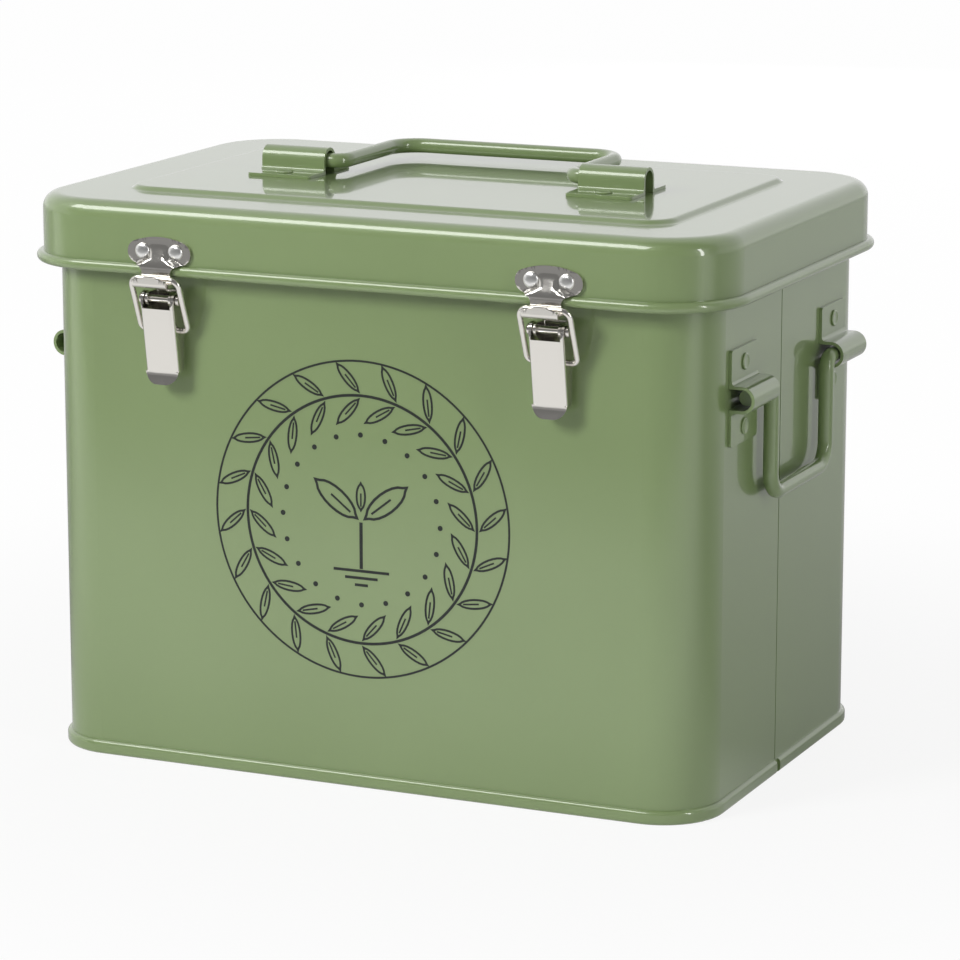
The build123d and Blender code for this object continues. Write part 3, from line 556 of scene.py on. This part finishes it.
def ease_step(piece):
    """The oval stays flat against the lid, and only the neck leans out over the rim bead. Cuts
    across the mesh give it rows of points, and each row is moved to its place on the slope."""
    middle_x = math.copysign(latch_x, piece.data.vertices[0].co.x)
    tall = step_high - step_low
    reach = step_half_width + step_fade
    cuts = []
    for row in range(step_rows + 1):
        cuts.append(((0, 0, step_low + tall * row / step_rows), (0, 0, 1)))
    for column in range(step_columns + 1):
        cuts.append(((middle_x + reach * (2 * column / step_columns - 1), 0, 0), (1, 0, 0)))
    bpy.ops.object.mode_set(mode="EDIT")
    for place, square_to in cuts:
        bpy.ops.mesh.select_all(action="SELECT")
        bpy.ops.mesh.bisect(plane_co=place, plane_no=square_to)
    mesh = active_mesh()
    for v in mesh.verts:
        if v.co.z < step_low + touch:
            continue
        # A point before the middle of the sheet belongs to the plate's face, the rest to its back
        pressed = clamped((pressed_high - v.co.z) / (pressed_high - step_low))
        sheet_middle = plate_wall_y - step_out * pressed - plate_sheet / 2
        face = plate_sheet if v.co.y < sheet_middle else 0.0
        slope = ramp_share((step_high - v.co.z) / tall)
        narrow = clamped((v.co.z - step_wide_at) / (step_narrow_at - step_wide_at))
        half_width = step_half_width + (step_top_half_width - step_half_width) * narrow
        beside = ramp_share((abs(v.co.x - middle_x) - half_width) / step_fade)
        v.co.y = plate_wall_y - face - step_out * slope * (1 - beside)
    bmesh.update_edit_mesh(piece.data)
    bpy.ops.object.mode_set(mode="OBJECT")


# %% Round the edges of a pressed piece
def round_edges(piece, width, segments, turn_limit, smooth_limit):
    """Bevel the active piece's edges that turn by more than one limit, and shade it smooth up to
    the other. Both are in degrees."""
    bpy.ops.object.modifier_add(type="BEVEL")
    edge = piece.modifiers[-1]
    edge.width = width
    edge.segments = segments
    edge.limit_method = "ANGLE"
    edge.angle_limit = math.radians(turn_limit)
    bpy.ops.object.modifier_apply(modifier=edge.name)
    bpy.ops.object.shade_smooth_by_angle(angle=math.radians(smooth_limit))


def soften(node_name, width, body):
    # A drawn plate flows round its own bends, and only its cut edge is sharp
    drawn = "keeper" in node_name
    turn_limit, smooth_limit = (60, 50) if drawn else (40, 30)
    copy = bpy.data.objects.new(node_name + "_soft", frame["nodes"][node_name].data.copy())
    bpy.context.scene.collection.objects.link(copy)
    bpy.ops.object.select_all(action="DESELECT")
    copy.select_set(True)
    bpy.context.view_layer.objects.active = copy
    bpy.ops.mesh.customdata_custom_splitnormals_clear()
    bpy.ops.object.mode_set(mode="EDIT")
    bpy.ops.mesh.select_all(action="SELECT")
    bpy.ops.mesh.remove_doubles(threshold=touch)
    bpy.ops.mesh.dissolve_limited(angle_limit=flat_angle)
    bpy.ops.object.mode_set(mode="OBJECT")
    if drawn:
        ease_step(copy)
    round_edges(copy, width, round_segments, turn_limit, smooth_limit)
    # Large faces keep their own normal, so that a flat plate still reflects as a flat mirror
    bpy.ops.object.modifier_add(type="WEIGHTED_NORMAL")
    copy.modifiers[-1].keep_sharp = True
    bpy.ops.object.modifier_apply(modifier=copy.modifiers[-1].name)
    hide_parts(node_name)
    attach(copy, body)
    return copy


bodies = frame["record"]["behaviour"]["bodies"]
body_of = {part: body for body, parts in bodies.items() for part in parts}
softened = []
for node_name in sorted(frame["nodes"]):
    if "rivets" in node_name or "cards" in node_name:
        continue
    for word, width in edge_rounds.items():
        if word in node_name:
            softened.append(soften(node_name, width, body_of[node_name]))
            break
print("softened:", [piece.name for piece in softened])

# %% [markdown]
# ## Rivets
# The clips, latch bases and hinges are held by tubular rivets, whose heads have a rounded rim and
# a shallow dish. The latch plates have solid rivets with domed heads. The shank fills the hole in
# the sheets, and the tail is spread behind them. A rivet is made from a single cylinder: its top
# is inset and sunk for the dish or lifted for the dome, its underside is inset to the shank and
# extruded through the sheets, and widened again for the tail.

# %% Sizes of the rivets
dome_height, dish_height = 1.0 * MM, 0.6 * MM
dome_insets = (0.12, 0.16, 0.2, 0.24)  # rings from the rim in, as shares of the head's radius
dome_share = 0.94  # of a half ball's drop, so that the rim keeps a low wall
dish_rim = 0.16  # width of the rim, as a share of the head's radius
dish_steps = ((0.14, 0.16 * MM), (0.12, 0.05 * MM))  # share of each ring, and how far it sinks
rim_height = 0.62  # of a dished head at its outer edge, as a share of the head's height
shank_radius = 1.5 * MM
tail_length, tail_taper = 0.6 * MM, 0.25 * MM
tail_width, tail_end = 1.4, 0.8  # of the shank, and then of the tail
rivet_corners = 40
rivet_round = 0.12 * MM


# %% Model one rivet
def pick(height, up):
    """In edit mode: select the faces at this height that look up, or down where up is -1."""
    bpy.ops.mesh.select_all(action="DESELECT")
    mesh = active_mesh()
    for face in mesh.faces:
        at_height = abs(face.calc_center_median().z - height) < touch
        face.select = at_height and face.normal.z * up > 0.9
    mesh.select_flush_mode()
    bmesh.update_edit_mesh(bpy.context.active_object.data)


def extrude_down(depth):
    bpy.ops.mesh.extrude_region_move(TRANSFORM_OT_translate={"value": (0, 0, -depth)})


def widen(share):
    bpy.ops.transform.resize(value=(share, share, 1), center_override=(0, 0, 0))


def shape_head(head_radius, head_height, domed):
    """Inset the top face, and lift or sink its rings."""
    bpy.ops.mesh.select_mode(type="FACE")
    pick(head_height, 1)
    if domed:
        for share in dome_insets:
            bpy.ops.mesh.inset(thickness=head_radius * share)
    else:
        bpy.ops.mesh.inset(thickness=head_radius * dish_rim)
        for share, depth in dish_steps:
            bpy.ops.mesh.inset(thickness=head_radius * share)
            bpy.ops.transform.translate(value=(0, 0, -depth))
    # A dome's rings go to a round profile, and a dished head only loses its outer corner
    mesh = active_mesh()
    for v in mesh.verts:
        out = v.co.xy.length / head_radius
        if domed and v.co.z > head_height * 0.9:
            v.co.z = head_height * math.sqrt(max(0.0, 1 - out**2 * dome_share))
        elif not domed and v.co.z > head_height * 0.99 and out > 0.95:
            v.co.z = head_height * rim_height
    bmesh.update_edit_mesh(bpy.context.active_object.data)


def make_rivet(head_radius, head_height, grip, domed):
    """Rivet along Z, with the underside of its head at the origin."""
    bpy.ops.object.select_all(action="DESELECT")
    bpy.ops.mesh.primitive_cylinder_add(
        vertices=rivet_corners,
        radius=head_radius,
        depth=head_height,
        location=(0, 0, head_height / 2),
    )
    bpy.ops.object.transform_apply(location=True)
    piece = bpy.context.active_object
    bpy.ops.object.mode_set(mode="EDIT")
    shape_head(head_radius, head_height, domed)
    pick(0, -1)
    bpy.ops.mesh.inset(thickness=head_radius - shank_radius)
    extrude_down(grip)
    extrude_down(0)
    widen(tail_width)
    extrude_down(tail_length - tail_taper)
    extrude_down(tail_taper)
    widen(tail_end)
    bpy.ops.object.mode_set(mode="OBJECT")
    round_edges(piece, rivet_round, segments=2, turn_limit=28, smooth_limit=60)
    return piece


# %% Put a copy where each solid rivet stands
def islands(node_name):
    """Lowest and highest corner of each loose solid in a node, in order of place."""
    mesh = bmesh.new()
    mesh.from_mesh(frame["nodes"][node_name].data)
    bmesh.ops.remove_doubles(mesh, verts=mesh.verts, dist=touch)
    left = set(mesh.verts)
    found = []
    while left:
        todo = [left.pop()]
        group = []
        while todo:
            v = todo.pop()
            group.append(v.co.copy())
            for linked in v.link_edges:
                other = linked.other_vert(v)
                if other in left:
                    left.remove(other)
                    todo.append(other)
        low = Vector([min(co[axis] for co in group) for axis in range(3)])
        high = Vector([max(co[axis] for co in group) for axis in range(3)])
        found.append((low, high))
    mesh.free()
    return sorted(found, key=lambda solid: tuple(solid[0]))


def outward(node_name, middle):
    """The way that the heads of a node's rivets look."""
    if "lid_clip" in node_name:
        return Vector((0, 0, 1))
    if "side_clip" in node_name:
        return Vector((1 if middle.x > 0 else -1, 0, 0))
    return Vector((0, 1 if "hinge" in node_name else -1, 0))


for node_name in sorted(n for n in frame["nodes"] if "rivets" in n):
    solids = islands(node_name)
    middles = [(low + high) / 2 for low, high in solids]
    normal = outward(node_name, middles[0])
    domed = "keeper" in node_name
    head_height = dome_height if domed else dish_height
    size = solids[0][1] - solids[0][0]
    along = abs(size.dot(normal))
    head_radius = (size - normal * size.dot(normal)).length / 2 / math.sqrt(2)
    grip = along - head_height - tail_length
    pattern = make_rivet(head_radius, head_height, grip, domed)
    turn = normal.to_track_quat("Z", "X").to_matrix().to_4x4()
    places = [Matrix.Translation(m + normal * (along / 2 - head_height)) @ turn for m in middles]
    rivets = join(turned_copies(pattern, places), node_name + "_dished")
    rivets.data.materials.clear()
    rivets.data.materials.append(aluminium if domed else slot_finish[slot_of[node_name]])
    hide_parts(node_name)
    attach(rivets, body_of[node_name])
    print(node_name, len(middles), "rivets, head and grip in mm:", end=" ")
    print(round(2 * head_radius / MM, 2), round(grip / MM, 2))

# %% [markdown]
# ## Studio
# The box stands on a white sweep. Behind it, over it and at its sides all is white, and the
# camera's side is dark. The plated parts need both: nickel has no colour of its own, and shows a
# white table in the faces that look down, and the dark in those that look out. A small panel on
# the left gives the tone and the shadow, and a wide softbox above it only draws bright lines
# along the edges. A tall strip on the right lights the narrow side, and a lamp behind the box
# lifts its back.


# %% White surroundings with a dark side
def seen_white(tree, value):
    """Strength of the white: a value from 0 to 1 in reflections, and 1 to the eye itself."""
    path = add_node(tree, "ShaderNodeLightPath")
    links = {0: path.outputs["Is Camera Ray"], 1: value}
    return add_node(tree, "ShaderNodeMath", {"operation": "MAXIMUM"}, links).outputs["Value"]


def bright_where_seen(tree, lit, seen, share=None):
    """Shader that shows "seen" to the camera and to gloss, and lights everything else with "lit".
    A share, where there is one, lets some of what is lit show through, such as a shadow."""
    path = add_node(tree, "ShaderNodeLightPath")
    links = {0: path.outputs["Is Camera Ray"], 1: path.outputs["Is Glossy Ray"]}
    part = add_node(tree, "ShaderNodeMath", {"operation": "MAXIMUM"}, links).outputs["Value"]
    if share:
        product = add_node(tree, "ShaderNodeMath", {"operation": "MULTIPLY"}, {0: part, 1: share})
        part = product.outputs["Value"]
    return add_node(tree, "ShaderNodeMixShader", None, {"Fac": part, 1: lit, 2: seen})


room_light = 0.24  # on everything but mirrors
away_from_camera = (-0.33, 0.86, -0.39)  # which stands in front, on the right
dark_until, white_from = -0.5, -0.12  # cosine of the angle to that line
dark_level, white_level = 0.2, 0.94


def make_world():
    world = bpy.data.worlds.new("studio")
    world.use_nodes = True
    tree = world.node_tree
    tree.nodes.clear()
    output = add_node(tree, "ShaderNodeOutputWorld")
    white = {"Color": (1, 1, 1, 1)}
    light = add_node(tree, "ShaderNodeBackground", white | {"Strength": room_light})
    place = add_node(tree, "ShaderNodeTexCoord")
    away = add_node(
        tree,
        "ShaderNodeVectorMath",
        {"operation": "DOT_PRODUCT", 1: away_from_camera},
        {0: place.outputs["Generated"]},
    )
    level = add_node(
        tree,
        "ShaderNodeMapRange",
        {
            "interpolation_type": "SMOOTHSTEP",
            "From Min": dark_until,
            "From Max": white_from,
            "To Min": dark_level,
            "To Max": white_level,
        },
        {"Value": away.outputs["Value"]},
    )
    strength = seen_white(tree, level.outputs["Result"])
    seen = add_node(tree, "ShaderNodeBackground", white, {"Strength": strength})
    mix = bright_where_seen(tree, light.outputs["Background"], seen.outputs["Background"])
    tree.links.new(mix.outputs["Shader"], output.inputs["Surface"])
    bpy.context.scene.world = world


make_world()
print("world:", bpy.context.scene.world.name)

# %% Floor that stays white and keeps the shadow
floor_size = 8  # in metres
floor_drop = 0.02 * MM  # under the foot
floor_reach = 1.0  # in metres, from the middle to either end of the floor's tones
# How bright the floor glows in reflections, at places from the front to the back, in metres.
# The dim part under and behind the box is a painted shadow of the box.
floor_glow_painted_shade = ((-0.5, 0.3), (-0.32, 1.0), (-0.16, 1.0), (0.02, 0.28), (0.3, 0.46), (0.62, 0.58))
shadow_near, shadow_far = 0.1, 0.36  # in metres from the middle
white_near, white_far = 0.88, 0.985  # share of plain white to the eye, at those two places


def make_floor_finish():
    material, tree, output = new_material("white_sweep")
    paper = add_node(
        tree, "ShaderNodeBsdfPrincipled", {"Base Color": (0.9, 0.9, 0.9, 1), "Roughness": 0.9}
    )
    place = add_node(tree, "ShaderNodeTexCoord")
    axes = add_node(tree, "ShaderNodeSeparateXYZ", None, {"Vector": place.outputs["Object"]})
    # Bright glow in front of the box, and painted shade under and behind it, seen in reflections
    # only
    along = add_node(
        tree,
        "ShaderNodeMapRange",
        {"From Min": -floor_reach, "From Max": floor_reach},
        {"Value": axes.outputs["Y"]},
    )
    light = add_node(tree, "ShaderNodeValToRGB", links={"Fac": along.outputs["Result"]})
    while len(light.color_ramp.elements) < len(floor_glow_painted_shade):
        light.color_ramp.elements.new(0.5)
    for stop, (y, level) in zip(light.color_ramp.elements, floor_glow_painted_shade):
        stop.position = (y + floor_reach) / (2 * floor_reach)
        stop.color = (level, level, level, 1)
    strength = seen_white(tree, light.outputs["Color"])
    glow = add_node(tree, "ShaderNodeEmission", {"Color": (1, 1, 1, 1)}, {"Strength": strength})
    # The shadow shows most near the box
    links = {0: place.outputs["Object"]}
    distance = add_node(tree, "ShaderNodeVectorMath", {"operation": "LENGTH"}, links)
    share = add_node(
        tree,
        "ShaderNodeMapRange",
        {
            "interpolation_type": "SMOOTHSTEP",
            "From Min": shadow_near,
            "From Max": shadow_far,
            "To Min": white_near,
            "To Max": white_far,
        },
        {"Value": distance.outputs["Value"]},
    )
    mix = bright_where_seen(
        tree, paper.outputs["BSDF"], glow.outputs["Emission"], share.outputs["Result"]
    )
    tree.links.new(mix.outputs["Shader"], output.inputs["Surface"])
    return material


bpy.ops.object.select_all(action="DESELECT")
bpy.ops.mesh.primitive_plane_add(size=floor_size, location=(0, 0, 0))
floor = bpy.context.active_object
floor.name = "sweep"
floor.data.transform(Matrix.Translation((0, 0, -floor_drop)))
floor.data.materials.append(make_floor_finish())
print("floor:", floor_size, "m square")


# %% Soft lamps
def soft_lamp(name, place, size, power, hidden_from):
    """Area lamp, width by height, that faces the box. It can be hidden from kinds of rays, so that
    one lamp gives only tone and another only the bright lines."""
    bpy.ops.object.light_add(type="AREA", location=place)
    lamp = bpy.context.active_object
    lamp.name = name
    lamp.data.shape = "RECTANGLE"
    lamp.data.size, lamp.data.size_y = size
    lamp.data.energy = power
    lamp.rotation_euler = (box_middle - Vector(place)).to_track_quat("-Z", "Y").to_euler()
    for kind in hidden_from:
        setattr(lamp, "visible_" + kind, False)


box_middle = Vector((0, 0, 0.09))
# Name, place in metres, width and height in metres, power in watts, rays it is hidden from
lamps = (
    ("main_panel", (-0.56, -0.98, 0.72), (0.4, 0.4), 10.2, ("glossy",)),
    ("softbox", (-0.55, -0.75, 1.1), (1.1, 0.45), 11.5, ("diffuse",)),
    ("right_strip", (1.15, -0.42, 0.45), (0.1, 0.8), 3.0, ()),
    ("back_fill", (-0.3, 1.6, 0.35), (0.6, 0.6), 7.0, ("glossy", "camera")),
)
for name, place, size, power, hidden_from in lamps:
    soft_lamp(name, place, size, power, hidden_from)
